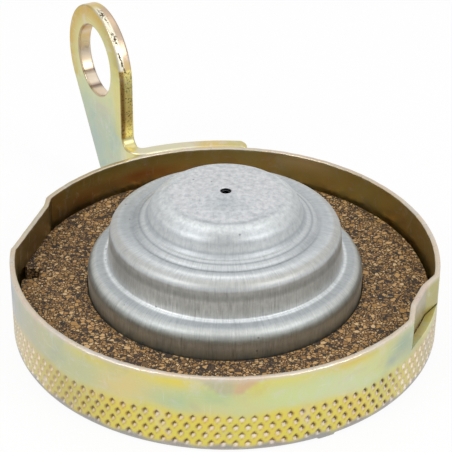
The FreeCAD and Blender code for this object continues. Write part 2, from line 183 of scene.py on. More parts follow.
def add(tree, kind, inputs=None, **settings):
    """One shader node with its settings. An input takes a value or another node's output."""
    node = tree.nodes.new("ShaderNode" + kind)
    for name, value in settings.items():
        setattr(node, name, value)
    for key, value in (inputs or {}).items():
        socket = node.inputs[key]
        if isinstance(value, bpy.types.NodeSocket):
            tree.links.new(value, socket)
        else:
            socket.default_value = value
    return node


def attribute(tree, name, output):
    """A mesh attribute, as a Color, Vector or Fac."""
    return add(tree, "Attribute", attribute_name=name).outputs[output]


def place_on(tree):
    """Object coordinates, in metres."""
    return add(tree, "TexCoord").outputs["Object"]


def noise(tree, place, scale, detail, roughness=0.5, distortion=0.0):
    """Cloud noise from 0 to 1, scale clouds to a metre."""
    return add(tree, "TexNoise", {"Vector": place, "Scale": scale, "Detail": detail,
                                  "Roughness": roughness, "Distortion": distortion}).outputs["Fac"]


def maths(tree, operation, *values):
    """Result of one sum."""
    return add(tree, "Math", dict(enumerate(values)), operation=operation).outputs[0]


def spread(tree, value, low, high, to_low=0.0, to_high=1.0):
    """Value carried from one range to another and held at its ends."""
    return add(tree, "MapRange", {0: value, 1: low, 2: high, 3: to_low, 4: to_high}).outputs[0]


def ramp(tree, value, stops):
    """Colour for a value, from a ramp's places and hex colours."""
    node = add(tree, "ValToRGB", {0: value})
    elements = node.color_ramp.elements
    for i, (place, colour) in enumerate(stops):
        element = elements[i] if i < 2 else elements.new(place)
        element.position = place
        element.color = linear(colour)
    return node.outputs[0]


def mixed(tree, share, colour, other, blend_type="MIX"):
    """Colour mixed with another by a share, or multiplied by it."""
    return add(tree, "Mix", {0: share, 6: colour, 7: other}, data_type="RGBA",
               blend_type=blend_type).outputs[2]


def bump(tree, height, strength, distance, **below):
    """Normal for a height of so many metres, over a Normal below it."""
    return add(tree, "Bump", {"Height": height, "Strength": strength, "Distance": distance,
                              **below}).outputs[0]


def new_material(name, metallic, roughness):
    """Material with one Principled shader. Returns the material, its tree and the shader."""
    material = bpy.data.materials.new(name)
    material.use_nodes = True
    tree = material.node_tree
    shader = tree.nodes["Principled BSDF"]
    shader.inputs["Metallic"].default_value = metallic
    shader.inputs["Roughness"].default_value = roughness
    return material, tree, shader


def plug(tree, shader, colour, normal):
    """Links a colour and a normal to the shader."""
    tree.links.new(colour, shader.inputs["Base Color"])
    tree.links.new(normal, shader.inputs["Normal"])


def yellow_chromate():
    """Steel sheet, zinc plated and yellow chromated: a soft satin metal whose thin film shifts from
    straw yellow to pale green, blue and pink, with rub marks and hair-fine scratches. The tint
    attribute gives its stains and painted light: painted shade and highlights on the knurl's pits,
    painted shade inside the skirt, a painted highlight on the bracket's bend and painted highlights and
    reflections in its eye. The wear attribute gives dark flecks and roughness on cut or burnished
    edges, and noise the rest: clouds of 8 mm, waves of 6 mm, smears of 5 mm and grit of 0.5 mm."""
    material, tree, shader = new_material("yellow_chromated_zinc", 1.0, 0.36)
    place = place_on(tree)
    wear = attribute(tree, "wear", "Fac")
    clouds = noise(tree, place, 130.0, 4.0, 0.55, 0.6)
    shift = ramp(tree, clouds, [(0.28, "e9cfc6"), (0.42, "f6eec0"), (0.55, "eef4d0"), (0.72, "d2e2e4")])
    film = mixed(tree, 0.4, attribute(tree, "tint", "Color"), shift, "MULTIPLY")
    smears = noise(tree, place, 210.0, 7.0, 0.72, 1.2)
    film = mixed(tree, spread(tree, smears, 0.54, 0.7, 0.0, 0.4), film, linear("dcd6da"))
    # Two sets of scratches, 0.3 mm wide and 6 mm long
    for turn, stretch in (((0.4, 0.5, 0.2), (160.0, 160.0, 3200.0)),
                          ((1.1, 0.4, 0.9), (3400.0, 150.0, 150.0))):
        along = add(tree, "Mapping", {0: place, 2: turn, 3: stretch}).outputs[0]
        scratch = spread(tree, noise(tree, along, 1.0, 1.0), 0.7, 0.8, 0.0, 0.3)
        film = mixed(tree, scratch, film, linear("efeae6"))
    grit = noise(tree, place, 1900.0, 3.0, 0.7)
    rougher = maths(tree, "MULTIPLY_ADD", wear, 0.25, grit)
    flecks = maths(tree, "MULTIPLY", spread(tree, rougher, 0.6, 0.65), spread(tree, wear, 0.0, 0.3))
    film = mixed(tree, flecks, film, linear("574634"))
    rough = maths(tree, "MULTIPLY_ADD", wear, 0.35, spread(tree, clouds, 0.3, 0.7, 0.28, 0.4))
    tree.links.new(rough, shader.inputs["Roughness"])
    wavy = bump(tree, noise(tree, place, 170.0, 2.0), 0.25, 0.0004)
    gritty = bump(tree, grit, spread(tree, wear, 0.0, 1.0, 0.03, 0.8), 0.0003, Normal=wavy)
    plug(tree, shader, film, gritty)
    return material


def drawn_aluminium():
    """Deep-drawn aluminium, washed matt: fine draw lines, 0.4 mm apart at the foot, run up the walls
    and fade on the crown, which is mottled in clouds of 1 mm, with a few dark specks and dents of
    3 mm. The streak attribute carries the direction of the lines and the tint attribute painted
    light: lighter rounds and bright lines as painted highlights, darker flats, creases and crown hole
    as painted shade and reflections."""
    material, tree, shader = new_material("drawn_aluminium", 1.0, 0.5)
    place = place_on(tree)
    lines = noise(tree, attribute(tree, "streak", "Vector"), 2.9, 5.0, 0.7)
    clouds = noise(tree, place, 900.0, 6.0, 0.72)
    plan = add(tree, "VectorMath", {0: place, 1: (1.0, 1.0, 0.0)}, operation="MULTIPLY").outputs[0]
    reach = add(tree, "VectorMath", {0: plan}, operation="LENGTH").outputs["Value"]
    drawn = add(tree, "Mix", {0: spread(tree, reach, 0.0125, 0.019), 2: clouds, 3: lines},
                data_type="FLOAT").outputs[0]
    tone = ramp(tree, drawn, [(0.3, "d5d7d8"), (0.5, "eef0f0"), (0.7, "ffffff")])
    mottle = ramp(tree, clouds, [(0.3, "eeeff0"), (0.6, "ffffff")])
    base = mixed(tree, 0.8, tone, mottle, "MULTIPLY")
    # The tint attribute's painted highlights and shade multiply the metal's tone
    with_painted_light = mixed(tree, 1.0, base, attribute(tree, "tint", "Color"), "MULTIPLY")
    spots = add(tree, "TexVoronoi", {"Vector": place, "Scale": 190.0}).outputs["Distance"]
    colour = mixed(tree, spread(tree, spots, 0.03, 0.06, 0.6, 0.0), with_painted_light, linear("55565a"))
    tree.links.new(spread(tree, drawn, 0.3, 0.7, 0.44, 0.58), shader.inputs["Roughness"])
    ribs = bump(tree, drawn, 0.25, 0.00015)
    plug(tree, shader, colour, bump(tree, noise(tree, place, 300.0, 3.0), 0.4, 0.0002, Normal=ribs))
    return material


def cork_rubber():
    """Sheet of cork chips bound with black rubber: angular chips of 0.7, 1 and 1.3 mm, warm tan to
    brown, between near-black seams, matt and a little rough."""
    material, tree, shader = new_material("cork_rubber", 0.0, 0.85)
    place = place_on(tree)
    sway = add(tree, "TexNoise", {"Vector": place, "Scale": 1300.0, "Detail": 3.0}).outputs["Color"]
    bent = add(tree, "Mix", {"Factor": 0.0007, 4: place, 5: sway}, data_type="VECTOR").outputs[1]
    chips = [(0.0, "362d26"), (0.1, "544130"), (0.17, "84623c"), (0.5, "b0864f"), (0.8, "c59c68"),
             (1.0, "dab888")]
    colour = None
    for scale, inner, outer, share in ((1450.0, 0.06, 0.19, 0.0), (950.0, 0.05, 0.16, 0.66),
                                       (780.0, 0.04, 0.13, 0.93)):
        grains = add(tree, "TexVoronoi", {"Vector": bent, "Scale": scale})
        edge = add(tree, "TexVoronoi", {"Vector": bent, "Scale": scale}, feature="DISTANCE_TO_EDGE")
        pick = add(tree, "SeparateColor", {0: grains.outputs["Color"]})
        seam = spread(tree, edge.outputs["Distance"], inner, outer)
        chip = mixed(tree, seam, linear("2b2622"), ramp(tree, pick.outputs[0], chips))
        if colour is None:
            colour, relief = chip, seam
            continue
        colour = mixed(tree, maths(tree, "GREATER_THAN", pick.outputs[1], share), colour, chip)
    plug(tree, shader, colour, bump(tree, relief, 0.4, 0.00015))
    return material


def plain_metal(name, colour, dark, roughness, scale):
    """Plated or blued steel with fine cloudy tone; scale is the clouds per metre."""
    material, tree, shader = new_material(name, 1.0, roughness)
    clouds = noise(tree, place_on(tree), scale, 5.0)
    tone = ramp(tree, clouds, [(0.3, dark), (0.65, colour)])
    plug(tree, shader, tone, bump(tree, clouds, 0.1, 0.0001))
    return material


def soft_stuff(name, colour, dark, roughness, scale, relief):
    """Rubber or foam: matt, with pores; scale is the pores per metre and relief their depth."""
    material, tree, shader = new_material(name, 0.0, roughness)
    pores = add(tree, "TexVoronoi", {"Vector": place_on(tree), "Scale": scale}).outputs["Distance"]
    tone = ramp(tree, pores, [(0.1, dark), (0.6, colour)])
    plug(tree, shader, tone, bump(tree, pores, 0.5, relief))
    return material


def woven_brass():
    """Fine brass wire cloth: two crossed sets of wires. Real ones are too fine to see here, so they
    are drawn coarser, 1.65 mm apart (2 pi / 20 / scale)."""
    material, tree, shader = new_material("woven_brass_wire", 1.0, 0.35)
    place = place_on(tree)
    warp, weft = (add(tree, "TexWave", {"Vector": place, "Scale": 190.0},
                      bands_direction=way).outputs["Fac"] for way in ("X", "Y"))
    both = maths(tree, "MAXIMUM", warp, weft)
    plug(tree, shader, ramp(tree, both, [(0.3, "2a2112"), (0.8, "c9a45a")]),
         bump(tree, both, 1.0, 0.0002))
    return material


def held(value):
    """Value held between 0 and 1."""
    return np.clip(value, 0, 1)


def hump(across, along=0):
    """Soft round hump, 1 in the middle: e to the power of -(across squared + along squared)."""
    return np.exp(-(across ** 2 + along ** 2))


def apart(turn, middle, whole=360):
    """Turn from a middle, between minus and plus half of a whole turn."""
    return (turn - middle + whole / 2) % whole - whole / 2


def angles(columns):
    """Azimuths of so many columns round the axis, in radians."""
    return np.arange(columns) * 2 * pi / columns


def round_the_axis(radius, height, azimuth):
    """Grid of points (r cos a, r sin a, z) for rows of radius and height at each azimuth a."""
    return np.stack([radius * np.cos(azimuth), radius * np.sin(azimuth), height + 0 * azimuth], axis=2)


def plain(colour, count):
    """One hex colour for so many points, as linear light."""
    return np.tile(np.array(linear(colour)[:3]), (count, 1))


def stain(colours, weight, colour):
    """Moves colours, in place, towards one hex colour by a weight for each point."""
    colours += weight[:, None] * (np.array(linear(colour)[:3]) - colours)


def cloud_over(colours, turn, along, clouds, strength=1.0):
    """Stains colours, in place, with soft elliptic clouds. Each has its azimuth, its place along the
    other way, half its size either way, its colour and, if it differs from the rest, its strength."""
    for middle, place, wide, high, colour, *own in clouds:
        near = hump(apart(turn, middle) / wide, (along - place) / high)
        stain(colours, (own[0] if own else strength) * near, colour)


def rounded(corners, radii, step):
    """Line through (r, z) corners with a tangent arc of its own radius at each, as an array. An
    arc of turn t starts radius * tan(t / 2) before its corner and has points about a step apart."""
    points = [np.array(corners[0], float)]
    for i in range(1, len(corners) - 1):
        before, corner, after = (np.array(corners[j], float) for j in (i - 1, i, i + 1))
        u = (corner - before) / np.linalg.norm(corner - before)
        w = (after - corner) / np.linalg.norm(after - corner)
        turn = atan2(u[0] * w[1] - u[1] * w[0], u @ w)
        radius = radii[i]
        if radius <= 0:
            points.append(corner)
            continue
        side = np.sign(turn) * np.array([-u[1], u[0]])
        start = corner - u * radius * tan(abs(turn) / 2)
        centre = start + side * radius
        count = max(2, int(np.ceil(radius * abs(turn) / step)))
        for swing in np.linspace(0, turn, count + 1):
            arm = start - centre
            points.append(centre + np.array([arm[0] * cos(swing) - arm[1] * sin(swing),
                                             arm[0] * sin(swing) + arm[1] * cos(swing)]))
    points.append(np.array(corners[-1], float))
    return np.array(points)


def moved_sideways(corners, shift):
    """Corners of an open line moved to its left by shift, each to where the moved sides meet."""
    line = np.array(corners, float)
    ways = np.diff(line, axis=0)
    ways /= np.linalg.norm(ways, axis=1)[:, None]
    sides = np.stack([-ways[:, 1], ways[:, 0]], axis=1)
    joined = sides[:-1] + sides[1:]
    joined /= (1 + (sides[:-1] * sides[1:]).sum(axis=1))[:, None]
    return line + shift * np.vstack([sides[:1], joined, sides[-1:]])


def resampled(line, step):
    """The same line with points evenly spaced by about a step, and the distance along it."""
    along = np.concatenate([[0], np.cumsum(np.linalg.norm(np.diff(line, axis=0), axis=1))])
    new = np.linspace(0, along[-1], max(2, int(round(along[-1] / step)) + 1))
    return np.stack([np.interp(new, along, line[:, k]) for k in (0, 1)], axis=1), new


def cells(rows, columns):
    """Corner numbers of a grid's quads, as (rows, columns, 4). Rows and columns close to a ring."""
    i = np.arange(rows)[:, None]
    j = np.arange(columns)[None, :]
    near, far = i * columns, (i + 1) % rows * columns
    beside = (j + 1) % columns
    return np.stack([near + j, near + beside, far + beside, far + j], axis=2)


def placed(name, data):
    """Object with its data, in the scene."""
    thing = bpy.data.objects.new(name, data)
    bpy.context.scene.collection.objects.link(thing)
    return thing


def mesh_piece(name, points, faces, material, body, colours=None, wear=None, streak=None,
               crease=40):
    """Object from an array of points in millimetres and lists of corner numbers, riding on a body.
    Edges that turn by more than the crease angle stay sharp."""
    mesh = bpy.data.meshes.new(name)
    mesh.from_pydata((points.reshape(-1, 3) * MM).tolist(), [], [list(map(int, f)) for f in faces])
    mesh.polygons.foreach_set("use_smooth", np.ones(len(mesh.polygons), bool))
    mesh.set_sharp_from_angle(angle=radians(crease))
    tint = None if colours is None else np.column_stack([colours, np.ones(len(colours))])
    for title, kind, key, values in (("tint", "FLOAT_COLOR", "color", tint),
                                     ("wear", "FLOAT", "value", wear),
                                     ("streak", "FLOAT_VECTOR", "vector", streak)):
        if values is not None:
            mesh.attributes.new(title, kind, "POINT").data.foreach_set(key, values.ravel())
    mesh.materials.append(material)
    piece = placed(name, mesh)
    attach(piece, body)
    return piece


def soft_least(a, b, width):
    """Lesser of a and b, with the corner between them rounded over the width."""
    h = held(0.5 + 0.5 * (b - a) / width)
    return b + (a - b) * h - width * h * (1 - h)


def skirt_radius(azimuth, depth):
    """Plan of the skirt's upper part: radius by azimuth at a depth into the sheet. A lug's flat is
    the line x = SKIRT_R - press, its ramps rise by 1 in LUG_RUN from the flat's ends, the lug is the
    greater of the two, and the skirt is the least of the circle and its lugs."""
    circle = SKIRT_R - depth
    radius = circle + 0 * azimuth
    wider = depth * ((1 + LUG_RUN ** 2) ** 0.5 - LUG_RUN)
    for middle, press, clockwise, anticlockwise in LUGS:
        away = apart(azimuth, radians(middle), 2 * pi)
        near = np.minimum(np.abs(away), radians(LUG_REACH))
        half = np.where(away < 0, clockwise, anticlockwise) + wider
        flat_x = SKIRT_R - press - depth
        flat = flat_x / np.cos(near)
        ramp_r = (flat_x - half / LUG_RUN) / (np.cos(near) - np.sin(near) / LUG_RUN)
        lug = -soft_least(-flat, -ramp_r, LUG_ROUND)
        radius = np.where(np.abs(away) < radians(LUG_REACH), soft_least(radius, lug, LUG_ROUND), radius)
    return np.minimum(radius, circle)


def knurl_pits(azimuth, z):
    """Depth of the knurl, painted shade on a pit's dark facets and how bright a painted highlight is on
    the others. Every cell of a staggered lattice has a pit of depth 1 - (|across|^p + |along|^p)^(1/p),
    p being
    PIT_POWER. The painted shade lies above and on the side away from the front, and a narrow ring round
    the pit carries its halo."""
    row = np.clip(np.round((z - KNURL_FIRST_Z) / KNURL_PITCH), 0, KNURL_ROWS - 1)
    turn = azimuth * KNURL_COUNT / (2 * pi) - row % 2 / 2
    across = (turn - np.round(turn)) * (2 * pi * SKIRT_R / KNURL_COUNT) / (PIT_W / 2)
    along = (z - KNURL_FIRST_Z - row * KNURL_PITCH) / (PIT_H / 2)
    inside = 1 - (np.abs(across) ** PIT_POWER + np.abs(along) ** PIT_POWER) ** (1 / PIT_POWER)
    off = apart(np.degrees(azimuth), SHADE_FRONT)
    lean = np.clip(off / 14, -1, 1)
    places, darks, lights = np.transpose(PIT_SHADE_AND_HIGHLIGHT)
    dark, light = np.interp(off, places, darks), np.interp(off, places, lights)
    # shade: painted shade inside a pit, and outside it the narrow ring of its halo; light: how bright
    # the painted highlight is
    shade = np.where(inside > 0, dark * held((along + SHADE_LEAN * lean * across) / 0.3 + 0.5),
                     held(1 + inside / 0.3))
    return PIT_DEPTH * held(inside), shade, light + 0 * shade


# Clouds of the chromate film on the skirt: azimuth, height, half width in degrees, half height,
# colour, strength
SKIRT_CLOUDS = (
    (190, 14, 24, 9, "989eb2", 1.0),
    (210, 12, 12, 8, "bbb9ac", 0.9),
    (222, 14, 12, 6, "c8c6ac", 0.6),
    (236, 18.2, 6, 1.6, "e4d264", 0.9),
    (246, 18.5, 6, 1.2, "e2cf72", 0.8),
    (257, 17.6, 8, 1.9, "ecd85e", 0.9),
    (232, 13, 9, 3, "c4c9ac", 0.7),
    (246, 14.0, 8, 4.5, "e2cf9a", 0.95),
    (258, 12.4, 6, 2.6, "bccdaa", 0.9),
    (268, 14.6, 6, 2.2, "bccfa2", 0.7),
    (286, 18.0, 12, 1.8, "e6dc74", 0.8),
    (290, 13.5, 14, 3.4, "d5e0a8", 0.85),
    (303, 13.0, 11, 5.0, "d5dec2", 0.85),
    (306, 17.6, 8, 2.0, "e0dc90", 0.7),
    (312, 13.0, 8, 3.0, "d3da9f", 0.6),
    (322, 15.0, 5.5, 3.4, "a5b6aa", 0.95),
    (328, 13.0, 5, 4.0, "a6b8a8", 0.9),
    (317, 12.8, 3, 1.2, "a9abb6", 0.5),
    (304, 18.2, 9, 1.3, "e0c664", 0.8),
    (278, 16.5, 3, 2.5, "dcd878", 0.6),
    (350, 12, 14, 6, "c0bb98", 0.9),
    (40, 13, 30, 5, "cbb877", 0.6),
    (100, 14, 30, 5, "b9c1a6", 0.6),
    (140, 12, 18, 6, "d2c584", 0.7),
)
# And inside the skirt, film colour with painted shade and the painted reflection of the brown gasket in
# its darker clouds: azimuth, height, half width in degrees, half height, colour
INNER_FILM_AND_SHADE = (
    (150, 15, 20, 9, "8c744a"),
    (172, 13, 14, 9, "6f583a"),
    (128, 18.5, 16, 2.0, "92935a"),
    (106, 17.6, 12, 2.4, "b2ac70"),
    (118, 13.8, 8, 1.8, "a86236"),
    (109, 13.9, 6, 1.7, "cc9458"),
    (136, 13.0, 10, 2.2, "8a6240"),
    (88, 15.5, 12, 3.0, "d3c58c"),
    (66, 17.8, 9, 2.2, "fbf4da"),
    (19, 14, 14, 9, "b19a64"),
    (-2, 13, 12, 9, "9a8654"),
)


def skirt_colours(azimuth, z, depth, pit, shade, light):
    """Film colour and wear on the skirt, and painted light: straw, with soft elliptic clouds and a pale
    wedge at the front, yellower over the knurl, grey at the lower edge, painted shade in brown on a
    pit's dark facets and a pale painted highlight on its bright ones, olive and brown inside, partly
    painted shade and the painted reflection of the gasket, pinkish on the sheared rim with a darker line
    at either lip, grey-beige on the pressed lugs."""
    turn = np.degrees(azimuth) % 360
    colours = plain("d7d5a6", len(z))
    cloud_over(colours, turn, z, SKIRT_CLOUDS)
    fall = held((RIM_Z - z) / WEDGE_H)
    front = (turn - WEDGE_AZIMUTH) / (WEDGE_HALF * (1 - fall) + 0.01)
    wedge = held((1 - np.abs(front)) * 4) * held((z - 14.6) / 0.9)
    pinker = held((front - 0.05) / 0.3)
    stain(colours, 0.85 * wedge * (1 - pinker), "c3bda8")
    stain(colours, 0.8 * wedge * pinker, "d6b4a0")
    sway = 0.5 * np.sin(9 * azimuth) + 0.3 * np.sin(23 * azimuth + 1)
    knurl = held((YELLOW_Z + sway - z) / 2.2)
    side = held(np.abs(apart(turn, 272)) / 75) ** 3
    stain(colours, 0.85 * knurl * (1 - 0.85 * side), "e8d65a")
    stain(colours, 0.5 * knurl * side, "cfc0a0")
    halo = np.where(pit > 0, 1, held(shade)) * knurl
    stain(colours, (0.5 + 0.2 * side) * halo, "b3825c")
    for middle, share, colour in ((226, 0.3, "a4926c"), (337, 0.55, "b9a58c")):
        stain(colours, share * hump((turn - middle) / 13) * knurl, colour)
    low_edge = held((LOW_EDGE_Z - z + 0.4 * np.sin(31 * azimuth)) / 0.9)
    stain(colours, 0.9 * low_edge, "a19fac")
    for middle, _, clockwise, anticlockwise in LUGS:
        off = apart(turn, middle)
        span = np.degrees((off > 0) * anticlockwise + (off <= 0) * clockwise) / SKIRT_R
        past = np.abs(off) - span
        above = z > LUG_Z - 0.1
        face = held(1.2 - past) * above
        ramp_face = (off > 0) * held(past) * held((11 - past) / 5) * above
        stain(colours, (0.85 if middle < 0 else 0.3) * face, "a59a8e")
        stain(colours, (0.7 if middle < 0 else 0.2) * ramp_face, "ada36c")
        ledge = (off > -span) * (off < span + 12) * (np.abs(z - LANCE_Z) < 0.05)
        stain(colours, 0.8 * ledge, "e4dfae")
    # Painted shade in dark brown on the pits' dark facets, then a painted highlight near white on their
    # bright ones
    deep = held(pit / PIT_DEPTH * 4 - 0.2)
    stain(colours, 0.97 * deep * held(shade), "36210f")
    bright = held(7 * light ** 2 * pit / PIT_DEPTH - 0.2)
    stain(colours, light * bright * held(1 - 1.6 * shade), "fff1ea")
    # Inside the skirt: an olive stain and brown clouds, partly film colour and partly painted shade and
    # the painted reflection of the gasket
    inside = held(depth / SHELL_T * 3 - 2)
    stain(colours, 0.95 * inside, "c8bd82")
    cloud_over(colours, turn, z, INNER_FILM_AND_SHADE, 0.75 * inside)
    rim = held((z - RIM_Z + RIM_ROUND + 0.05) / 0.1)
    stain(colours, 0.9 * rim, "f6efeb")
    stain(colours, 0.45 * rim * hump((turn - 52) / 16), "c9bdb2")
    outer_lip = rim * held((0.4 * SHELL_T - depth) / (0.15 * SHELL_T))
    stain(colours, 0.55 * outer_lip, "c0a9a4")
    stain(colours, 0.7 * outer_lip * hump((turn - 145) / 40), "a89c6c")
    inner_lip = rim * held((depth - 0.62 * SHELL_T) / (0.15 * SHELL_T))
    stain(colours, 0.5 * inner_lip, "967f6c")
    nicks = held(np.sin(41 * azimuth) * np.sin(17.3 * azimuth + 1) * 1.6 - 0.2)
    return colours, rim * (0.04 + 0.08 * nicks)


def shell_rows():
    """Section of the shell as rows: radius, height and depth into the skirt's sheet, from the rivet
    hole out along the closed face, up the skirt, over the rim, down inside and back to the hole."""
    half = SHELL_T / 2
    dish_z = DISH_DEPTH + half
    middle = [(RIVET_R, dish_z), (DISH_FLOOR_R, dish_z), (DISH_FLOOR_R + DISH_SLOPE, half),
              (24, half), (34, half), (42, half), (SKIRT_R - half, half), (SKIRT_R - half, 3)]
    low, high = DISH_BEND - half, DISH_BEND + half
    outer = rounded(moved_sideways(middle, -half), [0, low, high, 0, 0, 0, CORNER_R, 0],
                    SHELL_ARC_STEP)[:-1]
    inner = rounded(moved_sideways(middle, half), [0, high, low, 0, 0, 0, CORNER_R - SHELL_T, 0],
                    SHELL_ARC_STEP)[:-1]
    pit_steps = np.array([-1.0, -0.6, -0.2, 0.1, 0.4, 0.7]) * PIT_H / 2
    knurl = [KNURL_FIRST_Z + row * KNURL_PITCH + pit_steps for row in range(KNURL_ROWS)]
    top = RIM_Z - RIM_ROUND
    wall_z = np.concatenate(knurl + [[9.7, 10.3, 10.8, LANCE_Z, LUG_Z, 12.0], np.linspace(12.9, top, 7)])
    swing = np.linspace(0, pi / 2, 4)
    rim_d = np.concatenate([RIM_ROUND * (1 - np.cos(swing)), SHELL_T - RIM_ROUND * (1 - np.sin(swing))])
    rim_z = np.concatenate([top + RIM_ROUND * np.sin(swing), top + RIM_ROUND * np.cos(swing)])
    inside_z = np.array([18.4, 17.2, 15.8, 14.4, 13.0, 12.0, LUG_Z, LANCE_Z, 10.6, 8.0, 4.0])
    depth = np.concatenate([np.zeros(len(outer) + len(wall_z)), rim_d,
                            np.full(len(inside_z) + len(inner), SHELL_T)])
    z = np.concatenate([outer[:, 1], wall_z, rim_z, inside_z, inner[::-1, 1]])
    skirt = (SKIRT_R - depth)[len(outer):len(z) - len(inner)]
    r = np.concatenate([outer[:, 0], skirt, inner[::-1, 0]])
    wall = slice(len(outer), len(outer) + len(wall_z))
    corner = slice(wall.start - 6, wall.start)
    return r, z, depth, wall, corner


def slot_faces(quads, z, pressed):
    """Closes the lanced slots: the cells between the rows at LANCE_Z and LUG_Z are left out where the
    lug is pressed in, and the sheet's edges get their own faces above, below and at the ends."""
    low_out, low_in = np.flatnonzero(np.isclose(z, LANCE_Z))
    high_out, high_in = np.flatnonzero(np.isclose(z, LUG_Z))
    open_cell = pressed | np.roll(pressed, -1)
    quads = quads.copy()
    keep = np.ones(quads.shape[:2], bool)
    keep[low_out, open_cell] = False
    keep[high_in, open_cell] = False
    j = np.flatnonzero(open_cell)
    k = (j + 1) % COLUMNS

    def edge_faces(*corners):
        """Quads from four corners, each a row and its columns."""
        return np.stack([row * COLUMNS + column for row, column in corners], axis=1)

    ledge = edge_faces((low_out, j), (low_out, k), (low_in, k), (low_in, j))
    under = edge_faces((high_out, j), (high_in, j), (high_in, k), (high_out, k))
    first = np.flatnonzero(open_cell & ~np.roll(open_cell, 1))
    last = (np.flatnonzero(open_cell & ~np.roll(open_cell, -1)) + 1) % COLUMNS
    start = edge_faces((low_out, first), (low_in, first), (high_in, first), (high_out, first))
    end = edge_faces((low_out, last), (high_out, last), (high_in, last), (low_in, last))
    return np.concatenate([quads[keep], ledge, under, start, end])


def cap_shell(material):
    """Shell surface: the section's rows carried round the axis, the upper rows pressed in at the
    lugs, the edge below each lug dragged in by the shears, the knurl's rows pitted, and the corner
    filled out at the pip. The skirt waves a little and the sheared rim is uneven."""
    r, z, depth, wall, corner = shell_rows()
    azimuth = angles(COLUMNS)
    radius = np.repeat(r[:, None], COLUMNS, axis=1)
    height = np.repeat(z[:, None], COLUMNS, axis=1)
    on_skirt = r > SKIRT_R - 1.5 * SHELL_T
    upper = (z >= LUG_Z - 1e-6) & on_skirt
    radius[upper] = np.array([skirt_radius(azimuth, d) for d in depth[upper]])
    pressed_in = SKIRT_R - skirt_radius(azimuth, 0.0)
    below = on_skirt & (z > WAVE_Z) & (z <= LANCE_Z + 1e-6)
    drag = held((z[below] - WAVE_Z) / (LANCE_Z - WAVE_Z))[:, None] ** 2
    drag = drag * np.where(depth[below] > 0, 0.85, 0.25)[:, None]
    radius[below] -= drag * held(pressed_in / 1.2)
    wave = np.sin(3 * azimuth + 0.7) + 0.6 * np.sin(7 * azimuth + 2.1) + 0.4 * np.sin(13 * azimuth + 0.3)
    radius[on_skirt] -= WAVE_DEPTH * (2 + wave) * held((z[on_skirt, None] - WAVE_Z) / WAVE_RISE)
    pit, shade, light = (np.zeros_like(radius) for _ in range(3))
    pit[wall], shade[wall], light[wall] = knurl_pits(azimuth[None, :], height[wall])
    radius -= pit
    burr = np.sin(37 * azimuth + 1.1) * np.sin(11 * azimuth) + 0.6 * np.sin(83 * azimuth + 0.4)
    height[z > RIM_Z - RIM_ROUND / 2] -= BURR * (1.6 + burr)
    away = np.abs(apart(azimuth, radians(PIP_AZIMUTH), 2 * pi)) * SKIRT_R
    fill = held((PIP_LENGTH / 2 - away) / 0.3 + 1) * 0.5
    radius[corner] += fill * (SKIRT_R - radius[corner])
    height[corner] -= fill * height[corner]
    faces = slot_faces(cells(len(r), COLUMNS), z, pressed_in > 0.02)
    colours, wear = skirt_colours(np.tile(azimuth, len(r)), height.ravel(), np.repeat(depth, COLUMNS),
                                  pit.ravel(), shade.ravel(), light.ravel())
    piece = mesh_piece("cap_shell_finished", round_the_axis(radius, height, azimuth), faces, material,
                       "shell", colours=colours, wear=wear, crease=CREASE)
    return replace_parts(piece, "cap_shell")


# Vent cup's outside from the foot: steps inwards and up, and the radius at each corner
CUP_STEPS = ((0.0, 9.29), (4.6, 0.8), (0.8, 8.2), (5.1, 0.7), (3.1, 1.3), (1.3, 3.3), (2.8, 2.2))
CUP_ROUNDS = (0, 3.2, 0.5, 2.2, 0.4, 1.3, 3.0, 2.6, 0.45, 0)
# Rings pressed into the dome's foot: radius, depth, half width
CUP_RINGS = ((21.1, 0.22, 0.35), (20.3, -0.06, 0.3), (19.5, 0.1, 0.2), (18.95, -0.05, 0.15),
             (18.45, 0.09, 0.2), (17.9, -0.04, 0.15), (23.4, 0.06, 0.5))
# Painted light along the cup's line from the foot, lighter and darker bands that stand in for its
# highlights, shade and reflections: from, to, softness, colour, strength
CUP_PAINTED_BANDS = (
    (0.0, 4.2, 2.5, "7c827a", 0.8),
    (6.9, 8.9, 0.8, "9fa19c", 0.68),
    (8.9, 10.2, 0.5, "c6c6be", 0.5),
    (10.3, 12.1, 0.6, "aeb1b3", 0.7),
    (12.2, 12.7, 0.3, "f4f5f6", 0.5),
    (13.2, 17.4, 0.8, "eff1f2", 0.95),
    (17.4, 18.6, 1.0, "c9ccca", 0.6),
    (18.7, 19.8, 0.5, "e4e5e3", 0.4),
    (20.5, 22.4, 0.8, "b8b5ad", 0.6),
    (22.8, 26.0, 0.8, "b6babd", 0.5),
    (24.9, 25.9, 0.4, "a9acae", 0.3),
    (27.1, 27.6, 0.3, "a3a7ab", 0.7),
    (28.8, 30.1, 0.5, "b2b6b9", 0.7),
    (31.4, 32.4, 0.8, "c4c7ca", 0.4),
    (34.6, 36.2, 0.8, "ebedee", 0.4),
    (37.0, 60.0, 2.5, "d9d9db", 0.9),
)
